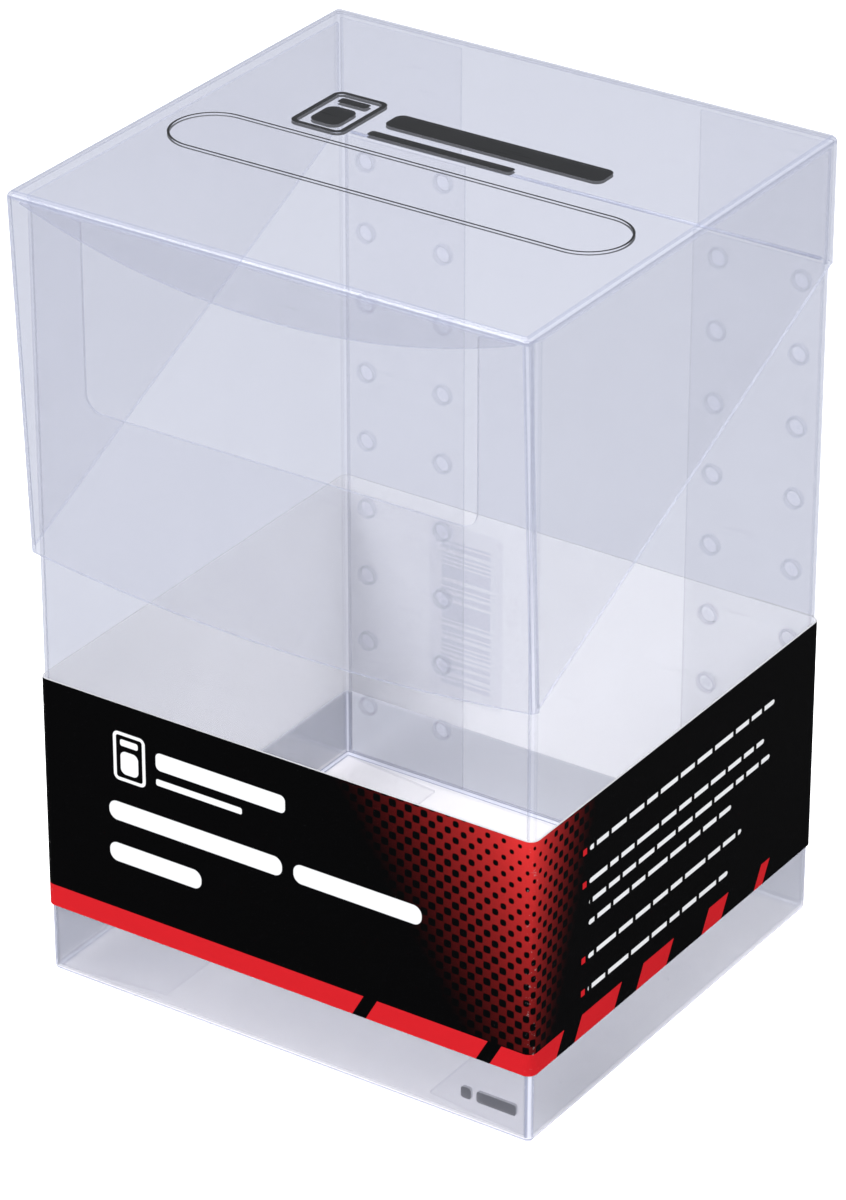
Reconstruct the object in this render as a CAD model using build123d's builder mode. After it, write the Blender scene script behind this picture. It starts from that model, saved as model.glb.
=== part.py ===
# Clear flip-lid storage box for graded card slabs, with a printed card band round its lower half.
# The box and its lid are folded from thin clear sheet. The lid swings back on a living hinge in the
# rear panel, and the band slides up and down on the body.
# Frame: origin at the centre of the floor's underside, +X to the right, +Y to the back, +Z up.
from build123d import *
from math import asin, atan2, degrees, hypot, radians, sin, cos, tan
import os

os.makedirs("parts", exist_ok=True)

# Overall sizes, in millimetres
body_width = 94.0          # across the front, outside the walls
body_depth = 86.0          # front wall to rear wall, outside
overall_height = 142.0     # floor underside to lid top

# Sheet and folds
sheet = 0.5                # thickness of the clear sheet
fold_radius = 1.2          # outside radius of each fold
flap_width = 25.0          # welded flaps at the rear, from the side of the box inwards

# Lid
strip_drop = 22.0          # lid top to the hinge crease in the rear panel
skirt_drop = 63.5          # lid top to the lower corners of the lid's front
skirt_sag = 3.4            # how far the curved lower edge hangs below those corners
turn_in_depth = 9.2        # depth of the crescent flap behind the lid's front
turn_in_inset = 2.5        # from the lid's side to the end of the crescent flap

# Front wall
tab_drop = 1.7             # lid underside to the top of the walls
tab_slope = 1.8            # fall of the front wall's top edge towards the finger cut-out
cutout_inset = 10.6        # side of the body to the side of the finger cut-out
cutout_drop = 36.0         # lid top to the cut-out's lower edge
cutout_floor_radius = 3.0  # inside corners of the cut-out
cutout_lip_radius = 4.5    # rounded corners where the cut-out meets the top edge

# Floor
dust_flap_width = 21.0     # side flaps folded in over the floor
dust_flap_taper = 2.0      # corners cut off the dust flaps

# Spot welds that join the rear flaps to the rear panels
weld_diameter = 3.2
weld_depth = 0.12
weld_pitch = 13.0
weld_lowest = 11.5         # height of the lowest row
weld_margin = 4.0          # least distance from the top row to the crease
weld_columns = (5.0, 20.5)  # from each side of the body

# Printed band
band_card = 0.3            # thickness of the card
band_bottom = 13.0
band_drop = 19.6           # lowest edge of the lid's front to the band's top edge
lap_width = 12.0           # glued overlap at the rear

# Clearances
lid_side_gap = 0.3         # body side to lid side
lid_front_gap = 0.4        # body front to the lowest edge of the lid's front
swing_gap = 0.15           # lid front to the top of the front wall as the lid swings
crease_gap = 0.1           # each side of the hinge crease
strip_gap = 0.4            # side walls to the lid's rear flaps
flap_gap = 0.4             # ends of flaps to the folds beside them
band_gap = 0.1             # body to band

# Derived places
half_width = body_width / 2
half_depth = body_depth / 2
lid_half = half_width + lid_side_gap + sheet
lid_underside = overall_height - sheet
hinge_height = overall_height - strip_drop
wall_top = lid_underside - tab_drop
skirt_corner = overall_height - skirt_drop
skirt_low = skirt_corner - skirt_sag
cutout_bottom = overall_height - cutout_drop
cutout_half = half_width - cutout_inset
weld_rows = int((hinge_height - weld_margin - weld_lowest) / weld_pitch) + 1

# The lid's front leans forward just enough to swing past the top of the front wall. Its inner face
# runs from the gap at its lowest edge, tangent to the circle that the wall's top edge makes round
# the hinge.
reach = hypot(body_depth + lid_front_gap, hinge_height - skirt_low)
swing_radius = hypot(body_depth, wall_top - hinge_height) + swing_gap
rise = atan2(hinge_height - skirt_low, body_depth + lid_front_gap)
lean = rise + asin(swing_radius / reach) - radians(90)


def lid_front_y(height, depth_in=0.0):
    """Y of the lid's front at a height: 0 is its inner face, a positive depth is further in."""
    inner = -half_depth - lid_front_gap - (height - skirt_low) * tan(lean)
    return inner + depth_in / cos(lean)


lid_front_plane = Plane(
    origin=(0, lid_front_y(lid_underside), lid_underside),
    x_dir=(1, 0, 0),
    z_dir=(0, -cos(lean), -sin(lean)),
)


def finish(part, name):
    """Name a finished piece and write it to its own file."""
    part.label = name
    export_step(part, f"parts/{name}.step")


# ---------------------------------------------------------------- body
# The whole tub first: its walls and floor with rounded folds, which the panels are then cut from.
with BuildPart() as tub:
    Box(body_width, body_depth, wall_top, align=(Align.CENTER, Align.CENTER, Align.MIN))
    fillet(tub.edges().filter_by(Axis.Z), fold_radius)
    fillet(tub.faces().sort_by(Axis.Z)[0].edges(), fold_radius)
    offset(amount=-sheet, openings=tub.faces().sort_by(Axis.Z)[-1])

front_fold_line = Plane.XZ.offset(half_depth - fold_radius)
rear_fold_line = Plane.XZ.offset(fold_radius - half_depth)
right_fold_line = Plane.YZ.offset(half_width - fold_radius)
left_fold_line = Plane.YZ.offset(fold_radius - half_width)
floor_fold_line = Plane.XY.offset(fold_radius)

with BuildPart() as body_floor:
    add(tub.part)
    split(bisect_by=floor_fold_line, keep=Keep.BOTTOM)
finish(body_floor.part, "body_floor")

with BuildPart() as body_front_wall:
    add(tub.part)
    split(bisect_by=floor_fold_line, keep=Keep.TOP)
    split(bisect_by=front_fold_line, keep=Keep.TOP)
    split(bisect_by=right_fold_line, keep=Keep.BOTTOM)
    split(bisect_by=left_fold_line, keep=Keep.TOP)
    with BuildSketch(Plane.XZ.offset(half_depth + sheet)) as finger_cutout:
        with BuildLine():
            Polyline(
                (-half_width, wall_top),
                (-cutout_half, wall_top - tab_slope),
                (-cutout_half, cutout_bottom),
                (cutout_half, cutout_bottom),
                (cutout_half, wall_top - tab_slope),
                (half_width, wall_top),
                (half_width, overall_height),
                (-half_width, overall_height),
                close=True,
            )
        make_face()
        side_corners = finger_cutout.vertices().filter_by(lambda v: abs(v.X) < half_width - 1)
        fillet(side_corners.group_by(Axis.Y)[0], cutout_floor_radius)
        fillet(side_corners.group_by(Axis.Y)[-1], cutout_lip_radius)
    extrude(amount=-3 * sheet, mode=Mode.SUBTRACT)
finish(body_front_wall.part, "body_front_wall")

# Above the crease the side walls stop short of the lid's rear flaps.
side_wall_rear = half_depth - 2 * sheet - strip_gap
for side, name in ((-1, "body_left_wall"), (1, "body_right_wall")):
    with BuildPart() as body_side_wall:
        add(tub.part)
        split(bisect_by=floor_fold_line, keep=Keep.TOP)
        if side > 0:
            split(bisect_by=right_fold_line, keep=Keep.TOP)
        else:
            split(bisect_by=left_fold_line, keep=Keep.BOTTOM)
        with BuildSketch(Plane.YZ.offset(-body_width)):
            with Locations((side_wall_rear, hinge_height - crease_gap)):
                Rectangle(body_depth, body_depth, align=(Align.MIN, Align.MIN))
        extrude(amount=2 * body_width, mode=Mode.SUBTRACT)
    finish(body_side_wall.part, name)


def weld_places(columns):
    """Sketch points of the spot welds, as distances across the rear and heights."""
    return [(x, weld_lowest + row * weld_pitch) for x in columns for row in range(weld_rows)]


all_weld_columns = [side * (half_width - x) for side in (-1, 1) for x in weld_columns]

with BuildPart() as body_back_wall:
    add(tub.part)
    split(bisect_by=floor_fold_line, keep=Keep.TOP)
    split(bisect_by=Plane.XY.offset(hinge_height - crease_gap), keep=Keep.BOTTOM)
    split(bisect_by=rear_fold_line, keep=Keep.BOTTOM)
    split(bisect_by=right_fold_line, keep=Keep.BOTTOM)
    split(bisect_by=left_fold_line, keep=Keep.TOP)
    with BuildSketch(Plane.XZ.offset(-half_depth)):
        with Locations(weld_places(all_weld_columns)):
            Circle(weld_diameter / 2)
    extrude(amount=weld_depth, mode=Mode.SUBTRACT)
finish(body_back_wall.part, "body_back_wall")

# Flaps of the side walls, folded in behind the back wall and spot-welded to it.
rear_flap_y = half_depth - 2 * sheet
rear_flap_span = flap_width - fold_radius
for side, name in ((-1, "body_left_rear_flap"), (1, "body_right_rear_flap")):
    flap_middle = side * (half_width - fold_radius - rear_flap_span / 2)
    flap_top = hinge_height - crease_gap - flap_gap
    flap_columns = [side * (half_width - x) for x in weld_columns]
    with BuildPart() as body_rear_flap:
        with BuildSketch(Plane.XZ.offset(-rear_flap_y)):
            with Locations((flap_middle, (fold_radius + flap_top) / 2)):
                Rectangle(rear_flap_span, flap_top - fold_radius)
        extrude(amount=-sheet)
        with BuildSketch(Plane.XZ.offset(-rear_flap_y)):
            with Locations(weld_places(flap_columns)):
                Circle(weld_diameter / 2)
        extrude(amount=-weld_depth, mode=Mode.SUBTRACT)
    finish(body_rear_flap.part, name)

# Dust flaps, folded in from the side walls and lying on the floor panel.
dust_front = -half_depth + fold_radius
dust_rear = rear_flap_y - flap_gap
for side, name in ((-1, "floor_left_dust_flap"), (1, "floor_right_dust_flap")):
    outer_edge = side * (half_width - fold_radius)
    inner_edge = side * (half_width - dust_flap_width)
    with BuildPart() as dust_flap:
        with BuildSketch(Plane.XY.offset(sheet)):
            with BuildLine():
                Polyline(
                    (outer_edge, dust_front),
                    (inner_edge, dust_front + dust_flap_taper),
                    (inner_edge, dust_rear - dust_flap_taper),
                    (outer_edge, dust_rear),
                    close=True,
                )
            make_face()
        extrude(amount=sheet)
    finish(dust_flap.part, name)

# ---------------------------------------------------------------- lid
# The whole hood first, hollow and open below, a little longer than the skirt that is left of it.
hood_base = skirt_low - 5
with BuildPart() as hood:
    with BuildSketch(Plane.YZ):
        with BuildLine():
            Polyline(
                (half_depth, hood_base),
                (half_depth, overall_height),
                (lid_front_y(overall_height, -sheet), overall_height),
                (lid_front_y(hood_base, -sheet), hood_base),
                close=True,
            )
        make_face()
    extrude(amount=lid_half, both=True)
    fillet(hood.edges().filter_by(lambda edge: edge.center().Z > hood_base + 1), fold_radius)
    offset(amount=-sheet, openings=hood.faces().sort_by(Axis.Z)[0])

lid_top_fold_line = Plane.XY.offset(overall_height - fold_radius)
lid_front_fold_line = lid_front_plane.offset(sheet - fold_radius)
lid_right_fold_line = Plane.YZ.offset(lid_half - fold_radius)
lid_left_fold_line = Plane.YZ.offset(fold_radius - lid_half)

with BuildPart() as lid_top_panel:
    add(hood.part)
    split(bisect_by=lid_top_fold_line, keep=Keep.TOP)
finish(lid_top_panel.part, "lid_top_panel")

with BuildPart() as lid_front_panel:
    add(hood.part)
    split(bisect_by=lid_top_fold_line, keep=Keep.BOTTOM)
    split(bisect_by=lid_front_fold_line, keep=Keep.TOP)
    with BuildSketch(Plane.XZ.offset(body_depth)):
        with BuildLine():
            ThreePointArc((-lid_half, skirt_corner), (0, skirt_low), (lid_half, skirt_corner))
            Polyline(
                (lid_half, skirt_corner),
                (body_width, skirt_corner),
                (body_width, 0),
                (-body_width, 0),
                (-body_width, skirt_corner),
                (-lid_half, skirt_corner),
            )
        make_face()
    extrude(amount=-body_depth, mode=Mode.SUBTRACT)
finish(lid_front_panel.part, "lid_front_panel")

# The sides are cut from the crease down to the front corners in one straight line, after a short
# level stretch under the rear fold.
skirt_front_y = lid_front_y(skirt_corner, -sheet)
crease_end_y = half_depth - fold_radius - crease_gap
for side, name in ((-1, "lid_left_side"), (1, "lid_right_side")):
    with BuildPart() as lid_side:
        add(hood.part)
        split(bisect_by=lid_top_fold_line, keep=Keep.BOTTOM)
        split(bisect_by=lid_front_fold_line, keep=Keep.BOTTOM)
        if side > 0:
            split(bisect_by=lid_right_fold_line, keep=Keep.TOP)
        else:
            split(bisect_by=lid_left_fold_line, keep=Keep.BOTTOM)
        with BuildSketch(Plane.YZ.offset(-body_width)):
            with BuildLine():
                Polyline(
                    (skirt_front_y, skirt_corner),
                    (crease_end_y, hinge_height + crease_gap),
                    (body_depth, hinge_height + crease_gap),
                    (body_depth, 0),
                    (skirt_front_y, 0),
                    close=True,
                )
            make_face()
        extrude(amount=2 * body_width, mode=Mode.SUBTRACT)
    finish(lid_side.part, name)

with BuildPart() as lid_rear_strip:
    add(hood.part)
    split(bisect_by=lid_top_fold_line, keep=Keep.BOTTOM)
    split(bisect_by=Plane.XY.offset(hinge_height + crease_gap), keep=Keep.TOP)
    split(bisect_by=rear_fold_line, keep=Keep.BOTTOM)
    split(bisect_by=lid_right_fold_line, keep=Keep.BOTTOM)
    split(bisect_by=lid_left_fold_line, keep=Keep.TOP)
finish(lid_rear_strip.part, "lid_rear_strip")

# Flaps of the lid's sides, folded in behind the rear strip.
strip_flap_bottom = hinge_height + crease_gap + flap_gap
strip_flap_top = overall_height - fold_radius - flap_gap
for side, name in ((-1, "lid_left_rear_flap"), (1, "lid_right_rear_flap")):
    flap_middle = side * (lid_half - fold_radius - rear_flap_span / 2)
    with BuildPart() as lid_rear_flap:
        with BuildSketch(Plane.XZ.offset(-rear_flap_y)):
            with Locations((flap_middle, (strip_flap_bottom + strip_flap_top) / 2)):
                Rectangle(rear_flap_span, strip_flap_top - strip_flap_bottom)
        extrude(amount=-sheet)
    finish(lid_rear_flap.part, name)

# Crescent flap, turned in behind the lid's front along its top fold.
turn_in_half = lid_half - turn_in_inset
with BuildPart() as lid_front_turn_in:
    with BuildSketch(lid_front_plane):
        with BuildLine():
            Line((-turn_in_half, -fold_radius), (turn_in_half, -fold_radius))
            ThreePointArc((turn_in_half, -fold_radius), (0, -turn_in_depth), (-turn_in_half, -fold_radius))
        make_face()
    extrude(amount=-sheet)
finish(lid_front_turn_in.part, "lid_front_turn_in")

# ---------------------------------------------------------------- band
band_height = skirt_low - band_drop - band_bottom
band_inner_radius = fold_radius + band_gap
band_outer_radius = band_inner_radius + band_card
band_inner_width = body_width + 2 * band_gap
band_inner_depth = body_depth + 2 * band_gap
with BuildPart() as band:
    with BuildSketch(Plane.XY.offset(band_bottom)):
        RectangleRounded(
            band_inner_width + 2 * band_card, band_inner_depth + 2 * band_card, band_outer_radius
        )
        RectangleRounded(band_inner_width, band_inner_depth, band_inner_radius, mode=Mode.SUBTRACT)
    extrude(amount=band_height)

with BuildPart() as band_front_panel:
    add(band.part)
    split(bisect_by=front_fold_line, keep=Keep.TOP)
    split(bisect_by=right_fold_line, keep=Keep.BOTTOM)
    split(bisect_by=left_fold_line, keep=Keep.TOP)
finish(band_front_panel.part, "band_front_panel")

with BuildPart() as band_back_panel:
    add(band.part)
    split(bisect_by=rear_fold_line, keep=Keep.BOTTOM)
    split(bisect_by=right_fold_line, keep=Keep.BOTTOM)
    split(bisect_by=left_fold_line, keep=Keep.TOP)
finish(band_back_panel.part, "band_back_panel")

with BuildPart() as band_right_panel:
    add(band.part)
    split(bisect_by=right_fold_line, keep=Keep.TOP)
finish(band_right_panel.part, "band_right_panel")

with BuildPart() as band_left_panel:
    add(band.part)
    split(bisect_by=left_fold_line, keep=Keep.BOTTOM)
finish(band_left_panel.part, "band_left_panel")

# Overlap that closes the loop, glued on the outside of the back panel.
lap_middle = half_width - fold_radius - lap_width / 2
with BuildPart() as band_glue_lap:
    with BuildSketch(Plane.XZ.offset(-band_inner_depth / 2 - band_card)):
        with Locations((lap_middle, band_bottom + band_height / 2)):
            Rectangle(lap_width, band_height)
    extrude(amount=-band_card)
finish(band_glue_lap.part, "band_glue_lap")
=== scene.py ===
import math

import bmesh
import bpy
from mathutils import Matrix, Vector


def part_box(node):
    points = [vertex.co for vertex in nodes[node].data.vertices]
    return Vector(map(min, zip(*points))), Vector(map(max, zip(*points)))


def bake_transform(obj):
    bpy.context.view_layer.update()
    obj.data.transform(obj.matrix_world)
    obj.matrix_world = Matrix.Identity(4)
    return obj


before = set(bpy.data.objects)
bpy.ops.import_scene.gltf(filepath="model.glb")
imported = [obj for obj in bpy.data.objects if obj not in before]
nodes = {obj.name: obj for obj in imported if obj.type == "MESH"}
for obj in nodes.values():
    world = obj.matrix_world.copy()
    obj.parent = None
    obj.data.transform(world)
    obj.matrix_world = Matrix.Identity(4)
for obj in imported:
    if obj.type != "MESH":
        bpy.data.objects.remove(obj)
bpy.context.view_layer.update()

mm = 0.001
scene = bpy.context.scene


cameraView = {
    "target": (-0.0014, -0.0009, 0.0642),  # a point near the middle of the box
    "distance": 0.887,
    "azimuth": 33.8,  # degrees round from the front, towards the right side
    "elevation": 28.3,
    "lens": 164.7,
    "sensor": 36,
}


def addCamera(view):
    turn, rise = math.radians(view["azimuth"]), math.radians(view["elevation"])
    back = Vector((math.sin(turn) * math.cos(rise), -math.cos(turn) * math.cos(rise), math.sin(rise)))
    data = bpy.data.cameras.new("camera")
    data.lens = view["lens"]
    data.sensor_width = view["sensor"]
    data.clip_start, data.clip_end = 0.01, 20
    camera = bpy.data.objects.new("camera", data)
    camera.location = Vector(view["target"]) + back * view["distance"]
    camera.rotation_mode = "QUATERNION"
    camera.rotation_quaternion = (-back).to_track_quat("-Z", "Y")
    scene.collection.objects.link(camera)
    scene.camera = camera


addCamera(cameraView)
scene.view_settings.view_transform = "Standard"  # keeps the pale stage white
scene.cycles.transparent_max_bounces = 64  # many clear walls stand behind each other
scene.cycles.max_bounces, scene.cycles.diffuse_bounces, scene.cycles.glossy_bounces = 5, 3, 2
print("camera set")


class Wire:  # one socket of a material, so that shader maths reads as plain expressions
    def __init__(self, finish, out):
        self.finish, self.out = finish, out

    def maths(self, operation, *terms):
        return self.finish.node("Math", {"operation": operation}, dict(enumerate(terms)))

    def __add__(self, other): return self.maths("ADD", self, other)
    def __radd__(self, other): return self.maths("ADD", other, self)
    def __sub__(self, other): return self.maths("SUBTRACT", self, other)
    def __rsub__(self, other): return self.maths("SUBTRACT", other, self)
    def __mul__(self, other): return self.maths("MULTIPLY", self, other)
    def __rmul__(self, other): return self.maths("MULTIPLY", other, self)
    def __truediv__(self, other): return self.maths("DIVIDE", self, other)
    def __pow__(self, other): return self.maths("POWER", self, other)
    def __abs__(self): return self.maths("ABSOLUTE", self)
    def __lt__(self, other): return self.maths("LESS_THAN", self, other)
    def __gt__(self, other): return self.maths("GREATER_THAN", self, other)
    def upTo(self, other): return self.maths("MINIMUM", self, other)
    def atLeast(self, other): return self.maths("MAXIMUM", self, other)
    def root(self): return self.maths("SQRT", self)
    def cosine(self): return self.maths("COSINE", self)

    def rise(self, low, high):  # 0 below low, 1 above high, smooth between
        kind = {"interpolation_type": "SMOOTHSTEP"}
        return self.finish.node("MapRange", kind, {0: self, 1: low, 2: high, 3: 0.0, 4: 1.0})

    def fall(self, low, high):
        return 1 - self.rise(low, high)


class Finish:  # one node material, made a node at a time
    def __init__(self, name):
        self.material = bpy.data.materials.new(name)
        self.material.use_nodes = True
        self.tree = self.material.node_tree
        self.tree.nodes.clear()

    def node(self, kind, settings=(), sockets=(), out=0):
        made = self.tree.nodes.new("ShaderNode" + kind)
        for key, value in dict(settings).items():
            setattr(made, key, value)
        for key, value in dict(sockets).items():
            if isinstance(value, Wire):
                self.tree.links.new(value.out, made.inputs[key])
            else:
                made.inputs[key].default_value = value
        return Wire(self, made.outputs[out])

    def split(self, vector):
        parts = self.node("SeparateXYZ", (), {0: vector}).out.node.outputs
        return [Wire(self, part) for part in parts]

    def place(self):  # object coordinates, in millimetres
        metres = self.node("TexCoord", out="Object")
        return self.node("VectorMath", {"operation": "SCALE"}, {0: metres, 3: 1 / mm})

    def normal(self):
        return self.split(self.node("TexCoord", out="Normal"))

    def noise(self, where, scale, detail=2.0, rough=0.5):
        size = {"Vector": where, "Scale": scale, "Detail": detail, "Roughness": rough}
        return self.node("TexNoise", (), size, "Fac")

    def blendColour(self, share, first, second):
        return self.node("Mix", {"data_type": "RGBA"}, {0: share, 6: first, 7: second}, 2)

    def bump(self, height, strength, distance):
        return self.node("Bump", (), {"Height": height, "Strength": strength, "Distance": distance})

    def done(self, surface):
        output = self.tree.nodes.new("ShaderNodeOutputMaterial")
        self.tree.links.new(surface.out, output.inputs["Surface"])
        return self.material


def roundedBox(u, v, centre, half, corner):  # signed distance to a rounded rectangle
    across = (abs(u - centre[0]) - (half[0] - corner)).atLeast(0)
    along = (abs(v - centre[1]) - (half[1] - corner)).atLeast(0)
    return (across * across + along * along).root() - corner


def inked(distance, edge=0.06):  # 1 inside a shape, with an edge a little soft
    return distance.fall(-edge, edge)


emblem = {  # a plain mark in a row 12 high: a card in its holder, then two bars
    "holder": ((-19.0, 0), (4.1, 6.0)), "corner": 1.1, "stroke": 0.85,  # centre, half size
    "filled": (((-19.0, 3.7), (2.5, 0.85)), ((-19.0, -1.5), (2.5, 3.0)),
               ((6.5, 1.9), (18.0, 2.3)), ((0.5, -3.6), (12.0, 0.85))),
}


def emblemMask(u, v):
    mask = abs(roundedBox(u, v, *emblem["holder"], emblem["corner"])) - emblem["stroke"] / 2
    for centre, half in emblem["filled"]:
        mask = mask.upTo(roundedBox(u, v, centre, half, min(half) * 0.6))
    return inked(mask)


clearSheet = {
    "haze": 0.09,  # share of the light that one face scatters
    "rim": 0.22,  # more of it at a grazing view
    "tint": (0.984, 0.985, 0.990, 1),
    "body": (0.378, 0.383, 0.44, 1),
    # painted shade colour for fold lines, cut edges and weld rims
    "fold": (0.19, 0.215, 0.32, 1),
    # painted highlight colour for the middle of folds and welds
    "paintedHighlight": (0.60, 0.62, 0.74, 1),
    "foldShare": 0.32, "paintedHighlightShare": 0.04, "cutShare": 0.26,
    "roughness": 0.13, "coatRoughness": 0.06, "coatIor": 1.7,
    "footTop": 13.0, "shadedFootShare": 0.38, "shadedFoot": (0.248, 0.256, 0.312, 1),  # painted shade round the base of the walls, below the band
    "cloudScale": 0.05, "waviness": 0.25, "waveDepth": 0.0006,  # slow unevenness of the sheet
    "scuffTurn": (0, 0, 0.6), "scuffStretch": (0.08, 1.6, 0.5), "scuffScale": 1.2, "scuffShare": 0.03,
    "solidest": 0.985,  # even ink lets a trace of light through
}

welds = {  # spot welds of the rear flaps, as in the sheet's own pockets, shown by a painted shade ring and a painted highlight in the middle
    "columns": (5.0, 20.5), "lowest": 11.5, "pitch": 13.0, "radius": 1.6, "shadeRing": 0.30,
    "shadeRingShare": 0.085, "highlightMiddleShare": 0.06,
}


def weldDistance(m, x, z):  # distance to the nearest weld
    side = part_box("body_right_wall")[1].x / mm
    outer, inner = [abs(abs(x) - (side - column)) for column in welds["columns"]]
    across = outer.upTo(inner)
    level = z - welds["lowest"] + welds["pitch"] / 2
    up = level.maths("WRAP", level, welds["pitch"], 0.0) - welds["pitch"] / 2
    return (across * across + up * up).root()


def makeClear(name, axis, changes=(), printed=None, welded=False):
    look = dict(clearSheet, **dict(changes))
    m = Finish(name)
    place = m.place()
    x, z = m.split(place)[::2]
    facing = abs(m.normal()[axis])
    lean = 2 * facing * (1 - facing * facing).atLeast(0).root()  # 0 when flat, 1 halfway round a fold
    # painted shade along both sides of each fold
    foldLine = lean.rise(0.12, 0.4) * lean.fall(0.65, 0.92)
    # painted highlight down the middle of each fold
    foldShine = lean.rise(0.75, 0.97)
    cutEdge = facing.fall(0.03, 0.14)
    # painted shade on the walls below the band
    shadedFoot = z.fall(look["footTop"] - 0.4, look["footTop"] + 0.4)
    cloud = m.noise(place, look["cloudScale"], 2.0)
    streaks = m.node("Mapping", (), {0: place, 2: look["scuffTurn"], 3: look["scuffStretch"]})
    scuff = m.noise(streaks, look["scuffScale"], 2.0).rise(0.62, 0.8)
    grazing = m.node("LayerWeight", (), {"Blend": 0.5}, "Facing")
    share = (look["haze"] * (0.78 + 0.44 * cloud) + look["rim"] * grazing ** 5
             + look["scuffShare"] * scuff
             + look["foldShare"] * foldLine + look["paintedHighlightShare"] * foldShine
             + look["cutShare"] * cutEdge + look["shadedFootShare"] * shadedFoot)
    # painted shade darkens the walls below the band
    colour = m.blendColour(shadedFoot, look["body"], look["shadedFoot"])
    # painted shade on fold lines and cut edges
    colour = m.blendColour(foldLine.atLeast(cutEdge * 0.8), colour, look["fold"])
    # painted highlight on the middle of folds
    colour = m.blendColour(foldShine, colour, look["paintedHighlight"])
    roughness = look["roughness"] + 0.08 * cloud + 0.12 * scuff + 0.4 * cutEdge
    height = cloud
    sockets = {}
    if welded:
        away = weldDistance(m, x, z)
        # painted shade ring round each weld and a painted highlight in its middle
        shadeRing = abs(away - welds["radius"]).fall(welds["shadeRing"] / 2, welds["shadeRing"] * 1.4)
        middle = away.fall(welds["radius"] * 0.3, welds["radius"])
        share = share + welds["shadeRingShare"] * shadeRing + welds["highlightMiddleShare"] * middle
        colour = m.blendColour(shadeRing * 0.7, colour, look["fold"])
        colour = m.blendColour(middle * 0.8, colour, look["paintedHighlight"])
        height = height + 0.25 * middle
    if printed is not None:
        mask, ink = printed(m, place)
        share = share * (1 - mask) + look["solidest"] * mask
        colour = m.blendColour(mask, colour, ink)
        roughness = roughness + 0.25 * mask
        sockets = {"Metallic": mask, "Coat Weight": 1 - mask}  # keeps the ink dark
    solid = m.node("BsdfPrincipled", (), {
        "Base Color": colour, "Roughness": roughness, "IOR": 1.49, "Specular IOR Level": 0.5,
        "Coat Weight": 1.0, "Coat Roughness": look["coatRoughness"], "Coat IOR": look["coatIor"],
        "Normal": m.bump(height, look["waviness"], look["waveDepth"]), **sockets})
    clear = m.node("BsdfTransparent", (), {"Color": look["tint"]})
    return m.done(m.node("MixShader", (), {0: share.upTo(look["solidest"]), 1: clear, 2: solid}))


topPrint = {
    "strip": {"centre": (0, -10.3), "half": (41.7, 7.0), "stroke": 0.42},  # outline to write in
    "mark": {"centre": (-1.0, 6.6), "scale": 1.12},
    "ink": (0.007, 0.007, 0.008, 1),
}


def printTop(m, place):
    x, y = m.split(place)[:2]
    strip, mark = topPrint["strip"], topPrint["mark"]
    outline = roundedBox(x, y, strip["centre"], strip["half"], strip["half"][1] * 0.999)
    line = abs(outline) - strip["stroke"] / 2
    u, v = (x - mark["centre"][0]) / mark["scale"], (y - mark["centre"][1]) / mark["scale"]
    upper = m.normal()[2].rise(0.4, 0.6)
    return inked(line).atLeast(emblemMask(u, v)) * upper, topPrint["ink"]


smallMark = {  # two short bars
    "bars": (((34.9, 5.6), (0.95, 1.05)), ((40.6, 5.6), (3.7, 1.05))), "ink": (0.03, 0.03, 0.035, 1),
}


def printFront(m, place):
    x, z = m.split(place)[::2]
    outer = m.normal()[1].fall(-0.6, -0.4)
    first, second = [roundedBox(x, z, centre, half, 0.5) for centre, half in smallMark["bars"]]
    return inked(first.upTo(second)) * outer * 0.8, smallMark["ink"]


sheetChanges = {  # what differs from the plain sheet
    "side": {"foldShare": 0.10, "paintedHighlightShare": 0.02, "body": (0.405, 0.41, 0.462, 1),
             "shadedFootShare": 0.48, "shadedFoot": (0.24, 0.248, 0.305, 1)},
    "floor": {"haze": 0.60, "body": (0.95, 0.915, 0.905, 1), "foldShare": 0.16, "paintedHighlightShare": 0.05,
              "shadedFootShare": 0.0, "footTop": -5.0},
    "dustFlap": {"footTop": -5.0, "shadedFootShare": 0.0, "cutShare": 0.14, "body": (0.6, 0.6, 0.64, 1)},
    "turnIn": {"haze": 0.17, "body": (0.27, 0.28, 0.35, 1)},
    "welded": {"cutShare": 0.08, "foldShare": 0.03, "paintedHighlightShare": 0.01, "shadedFootShare": 0.05},
    "rearFlap": {"cutShare": 0.08, "foldShare": 0.05, "paintedHighlightShare": 0.01},
}


def paintSheets():
    plain = [makeClear("clearSheetSide", 0, sheetChanges["side"]), makeClear("clearSheetFront", 1),
             makeClear("clearSheetFlap", 2, sheetChanges["dustFlap"])]
    welded = makeClear("clearSheetWelded", 1, sheetChanges["welded"], None, True)
    rearFlap = makeClear("clearSheetRearFlap", 1, sheetChanges["rearFlap"])
    special = {
        "lid_top_panel": makeClear("clearSheetPrinted", 2, {}, printTop),
        "body_front_wall": makeClear("clearSheetMarked", 1, {}, printFront),
        "body_floor": makeClear("clearSheetFloor", 2, sheetChanges["floor"]),
        "lid_front_turn_in": makeClear("clearSheetTurnIn", 1, sheetChanges["turnIn"]),
        "body_back_wall": welded, "body_left_rear_flap": welded, "body_right_rear_flap": welded,
        "lid_left_rear_flap": rearFlap, "lid_right_rear_flap": rearFlap,
    }
    for name, node in nodes.items():
        if name.startswith("band_"):
            continue
        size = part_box(name)[1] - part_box(name)[0]
        thinnest = min(range(3), key=lambda i: size[i])
        node.data.materials.clear()
        node.data.materials.append(special.get(name, plain[thinnest]))
        node.visible_shadow = False  # clear sheet lets the lamps through


paintSheets()
print("clear sheets painted")


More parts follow.
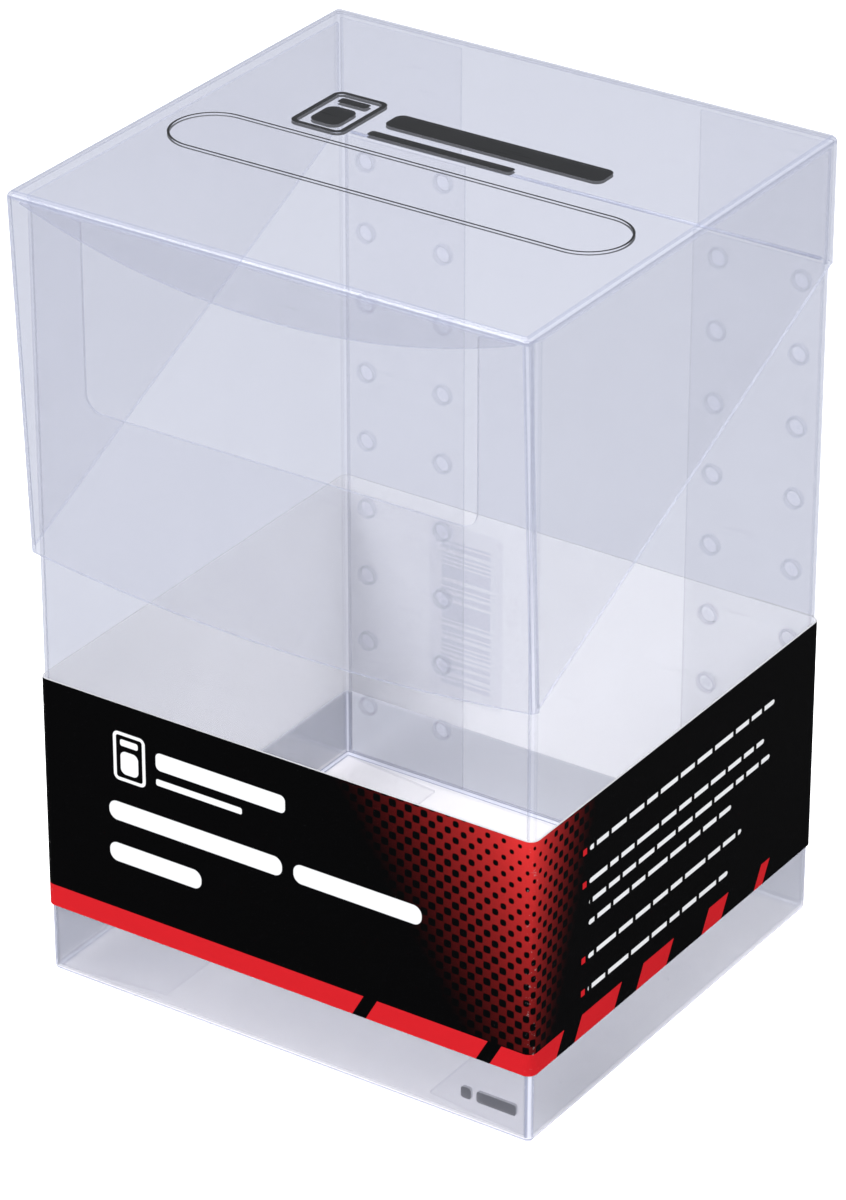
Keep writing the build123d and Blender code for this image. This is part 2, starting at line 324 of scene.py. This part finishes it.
band = {
    "black": (0.0014, 0.0014, 0.0015, 1),
    "red": (0.43, 0.011, 0.015, 1),
    "glow": (0.52, 0.024, 0.024, 1),  # red under the dots
    "edge": (0.38, 0.38, 0.39, 1), "worn": (0.25, 0.24, 0.24, 1),
    "white": (0.60, 0.60, 0.60, 1),
    "paper": ((0.87, 0.87, 0.885, 1), (0.92, 0.92, 0.93, 1)), "shadow": (0.40, 0.42, 0.52, 1),
    "stripe": (13.0, 17.0),
    "slant": 0.55,
    "frontGaps": ((14.6, 17.2), (38.1, 40.7)),
    "rightDashes": ((-60, -35.1), (-29.8, -18.0), (-11.4, -2.2), (8.8, 14.9), (25.4, 28.1)),
    "dotPitch": 2.94, "dotLeft": 38.0, "dotRight": 19.0, "dotTop": 55.5, "dotHeight": 38.5,
    "dotDown": 0.64,  # how much faster the dots fade downwards
    "headings": (((-16.8, 35.5), (17.0, 1.75)), ((14.6, 35.5), (12.2, 1.75)),
                 ((-24.8, 27.7), (9.1, 1.75))),  # centre, half size
    "mark": {"centre": (-16.2, 45.9), "scale": 0.70},
    "rows": ((46.8, 29.0), (40.8, 26.0), (37.0, 28.0), (33.2, 16.0), (27.0, 19.5), (21.0, 15.5)),
    "label": {"centre": (-22.0, 35.0), "half": (7.5, 17.0), "bars": (5.0, 14.2), "line": 1.25},
    "rowStart": -27.2, "rowHalf": 0.44, "bulletRows": (0, 1, 4, 5), "bulletPlace": -28.6,
    "wordBase": 33.96, "wordPitch": 3.8,  # each row gets its own breaks
}


def makeBand():
    m = Finish("printedCard")
    place = m.place()
    x, y, z = m.split(place)
    nx, ny = m.normal()[:2]
    low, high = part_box("band_left_panel")[0] / mm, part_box("band_right_panel")[1] / mm
    outward = nx * x + ny * y
    printed, inner = outward.rise(2, 6), outward.fall(-6, -2)
    around = x + y - (high.x + low.y)  # along the outside from the front right corner
    front, right = y < (low.y + 2), x > (high.x - 2)
    back, left = y > (high.y - 2), x < (low.x + 2)
    # the stripe, with slanted breaks on the front and dashes on the right
    leaning = band["slant"] * (z - sum(band["stripe"]) / 2)
    gaps = None
    for start, end in band["frontGaps"]:
        gap = abs(x - leaning - (start + end) / 2) - (end - start) / 2
        gaps = gap if gaps is None else gaps.upTo(gap)
    dashes = None
    for start, end in band["rightDashes"]:
        dash = abs(y - leaning - (start + end) / 2) - (end - start) / 2
        dashes = dash if dashes is None else dashes.upTo(dash)
    rightOnly = right * (1 - front)
    stripe = (1 - inked(gaps) * front) * (1 - rightOnly * (1 - inked(dashes)))
    stripe = stripe * z.fall(band["stripe"][1] - 0.05, band["stripe"][1] + 0.05)
    # dots round the corner
    turn = 2 * math.pi / band["dotPitch"]
    weave = ((x + y + z) * turn).cosine() + ((x + y - z) * turn).cosine()  # -2 to 2
    dotted = front.atLeast(right) * (1 - back) * (1 - left)
    dotted = dotted * z.rise(band["stripe"][1], band["stripe"][1] + 0.4)
    reach = (-1 * around / band["dotLeft"]).atLeast(around / band["dotRight"])
    down = (band["dotTop"] - z) / band["dotHeight"]
    away = (reach + band["dotDown"] * down).upTo(1)  # 0 at the top of the corner, 1 where the dots end
    dots = (weave * 0.5 - (0.80 - 1.15 * away).atLeast(0.10)).fall(-0.17, 0.17) * dotted
    glow = m.blendColour((1 - away) ** 2.0, band["black"], band["glow"])
    # rows of plain bars
    marks = None
    for centre, half in band["headings"]:
        bar = roundedBox(x, z, centre, half, half[1] * 0.9)
        marks = bar if marks is None else marks.upTo(bar)
    mark = band["mark"]
    u, v = (x - mark["centre"][0]) / mark["scale"], (z - mark["centre"][1]) / mark["scale"]
    frontInk = inked(marks).atLeast(emblemMask(u, v)) * front * (1 - right)
    rows, bullets = None, None
    for i, (level, end) in enumerate(band["rows"]):
        start = band["rowStart"]
        row = roundedBox(y, z, ((start + end) / 2, level), ((end - start) / 2, band["rowHalf"]), 0.5)
        rows = row if rows is None else rows.upTo(row)
        if i in band["bulletRows"]:
            bullet = roundedBox(y, z, (band["bulletPlace"], level), (0.55, 0.55), 0.1)
            bullets = bullet if bullets is None else bullets.upTo(bullet)
    rowNumber = (z - band["wordBase"]) / band["wordPitch"]
    level = rowNumber.maths("FLOOR", rowNumber)
    words = m.node("TexVoronoi", {"voronoi_dimensions": "1D", "feature": "DISTANCE_TO_EDGE"},
                   {"W": y * 0.19 + level * 7.3, "Scale": 1.0, "Randomness": 0.85}, "Distance")
    rightInk = inked(rows) * words.rise(0.075, 0.10) * rightOnly
    # plain label with bars on the back, which shows faintly through the card
    label = band["label"]
    plate = inked(roundedBox(x, z, label["centre"], label["half"], 1.0)) * back * (1 - left)
    barred = m.noise(m.node("CombineXYZ", (), {2: z}), label["line"], 0.0).rise(0.47, 0.49)
    bars = inked(roundedBox(x, z, label["centre"], label["bars"], 0.1)) * barred * plate
    colour = m.blendColour(dots, band["black"], glow)
    colour = m.blendColour(plate, colour, band["white"])
    colour = m.blendColour(bars, colour, band["black"])
    colour = m.blendColour(stripe, colour, band["red"])
    colour = m.blendColour(inked(bullets) * rightOnly, colour, band["red"])
    colour = m.blendColour(frontInk.atLeast(rightInk), colour, band["white"])
    grain = m.noise(place, 1.3, 4.0, 0.65)
    folded = (2 * abs(nx * ny)).rise(0.2, 0.8)
    worn = folded * grain.rise(0.60, 0.72) * 0.5
    colour = m.blendColour(worn, colour, band["worn"])
    paper = m.blendColour(grain, *band["paper"])
    paper = m.blendColour(plate * 0.16 + bars * 0.3, paper, band["shadow"])
    paper = m.blendColour(inner, band["edge"], paper)
    colour = m.blendColour(printed, paper, colour)
    roughness = 0.34 + 0.12 * grain + 0.3 * (1 - printed)
    surface = m.node("BsdfPrincipled", (), {
        "Base Color": colour, "Roughness": roughness, "Specular IOR Level": 0.02, "IOR": 1.12,
        "Normal": m.bump(m.noise(place, 3.0, 3.0), 0.15, 0.0002)})
    return m.done(surface)


def paintBand():
    card = makeBand()
    for name, node in nodes.items():
        if name.startswith("band_"):
            node.data.materials.clear()
            node.data.materials.append(card)


paintBand()
print("band painted")


hingeBead = {  # the scored crease between the body and the lid
    "radius": 0.30 * mm, "sides": 12, "inset": 0.6 * mm, "round": 0.12 * mm, "proud": 0.05 * mm,
    "look": {"haze": 0.30, "body": (0.55, 0.58, 0.68, 1)},
}


def addHingeBead():
    low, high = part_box("lid_rear_strip")
    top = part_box("body_back_wall")[1].z
    level = (low.z + top) / 2
    length = 2 * (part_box("body_back_wall")[1].x - hingeBead["inset"])
    form = bmesh.new()
    bmesh.ops.create_cone(form, cap_ends=True, segments=hingeBead["sides"], depth=length,
                          radius1=hingeBead["radius"], radius2=hingeBead["radius"])
    rims = [edge for edge in form.edges if len({round(v.co.z, 6) for v in edge.verts}) == 1]
    bmesh.ops.bevel(form, geom=rims, offset=hingeBead["round"], segments=2, profile=0.5,
                    affect="EDGES", material=-1)
    bmesh.ops.rotate(form, verts=form.verts, matrix=Matrix.Rotation(math.pi / 2, 3, "Y"))
    bmesh.ops.translate(form, verts=form.verts, vec=(0, high.y - hingeBead["proud"], level))
    for face in form.faces:
        face.smooth = True
    mesh = bpy.data.meshes.new("lid_crease_bead")
    form.to_mesh(mesh)
    form.free()
    mesh.materials.append(makeClear("clearSheetBead", 0, hingeBead["look"]))
    bead = bpy.data.objects.new("lid_crease_bead", mesh)
    scene.collection.objects.link(bead)
    bead.visible_shadow = False
    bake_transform(bead)


addHingeBead()
print("hinge bead made")


stage = {
    "size": 6.0, "drop": 0.5 * mm,
    "pale": (0.93, 0.93, 0.94, 1),
    "throughPlastic": (0.475, 0.485, 0.535, 1), "surround": (0.72, 0.74, 0.78),
    "lift": (0.42, 0.42, 0.42, 1), "liftThrough": (0.237, 0.242, 0.267, 1),  # keeps the far floor pale
    "liftStrength": 1.5, "worldThrough": 1.5,
}


def addStage():
    form = bmesh.new()
    bmesh.ops.create_grid(form, x_segments=1, y_segments=1, size=stage["size"] / 2)
    bmesh.ops.translate(form, verts=form.verts, vec=(0, 0, -stage["drop"]))
    mesh = bpy.data.meshes.new("studioFloor")
    form.to_mesh(mesh)
    form.free()
    floor = bpy.data.objects.new("studioFloor", mesh)
    scene.collection.objects.link(floor)
    m = Finish("studioFloor")
    through = m.node("LightPath", out="Transparent Depth") > 0.5
    seen = m.node("LightPath", out="Is Camera Ray")
    unlifted = m.blendColour(seen, stage["throughPlastic"], stage["liftThrough"])
    colour = m.blendColour(through, stage["pale"], unlifted)
    lift = m.blendColour(seen, (0, 0, 0, 1), m.blendColour(through, stage["lift"], stage["liftThrough"]))
    surface = m.node("BsdfPrincipled", (), {
        "Base Color": colour, "Roughness": 0.9, "Specular IOR Level": 0.0,
        "Emission Color": lift, "Emission Strength": stage["liftStrength"]})
    mesh.materials.append(m.done(surface))


def addWorld():
    world = bpy.data.worlds.new("studio")
    scene.world = world
    world.use_nodes = True
    tree = world.node_tree
    tree.nodes.clear()
    path = tree.nodes.new("ShaderNodeLightPath")
    through = tree.nodes.new("ShaderNodeMath")
    through.operation = "GREATER_THAN"
    through.inputs[1].default_value = 0.5
    tree.links.new(path.outputs["Transparent Depth"], through.inputs[0])
    seen = tree.nodes.new("ShaderNodeMix")
    seen.data_type = "RGBA"
    seen.inputs[6].default_value = (1, 1, 1, 1)
    seen.inputs[7].default_value = [stage["worldThrough"] * c for c in stage["throughPlastic"][:3]] + [1]
    tree.links.new(through.outputs[0], seen.inputs[0])
    mix = tree.nodes.new("ShaderNodeMix")
    mix.data_type = "RGBA"
    mix.inputs[6].default_value = (*stage["surround"], 1)
    tree.links.new(path.outputs["Is Camera Ray"], mix.inputs[0])
    tree.links.new(seen.outputs[2], mix.inputs[7])
    background = tree.nodes.new("ShaderNodeBackground")
    tree.links.new(mix.outputs[2], background.inputs["Color"])
    output = tree.nodes.new("ShaderNodeOutputWorld")
    tree.links.new(background.outputs[0], output.inputs["Surface"])


lamps = {
    "overhead": {"place": (-0.10, 0.0, 0.9), "size": 0.6, "power": 5.5},
    "key": {"place": (-0.30, -0.62, 0.80), "size": 0.55, "power": 7.0},
    "fill": {"place": (0.75, -0.35, 0.70), "size": 0.40, "power": 3.5},
}


def addLamps():
    middle = Vector(cameraView["target"])
    for name, lamp in lamps.items():
        data = bpy.data.lights.new(name, "AREA")
        data.size, data.energy = lamp["size"], lamp["power"]
        light = bpy.data.objects.new(name, data)
        light.location = lamp["place"]
        light.rotation_mode = "QUATERNION"
        light.rotation_quaternion = (middle - light.location).to_track_quat("-Z", "Y")
        scene.collection.objects.link(light)


addStage()
addWorld()
addLamps()
print("stage and lights set")
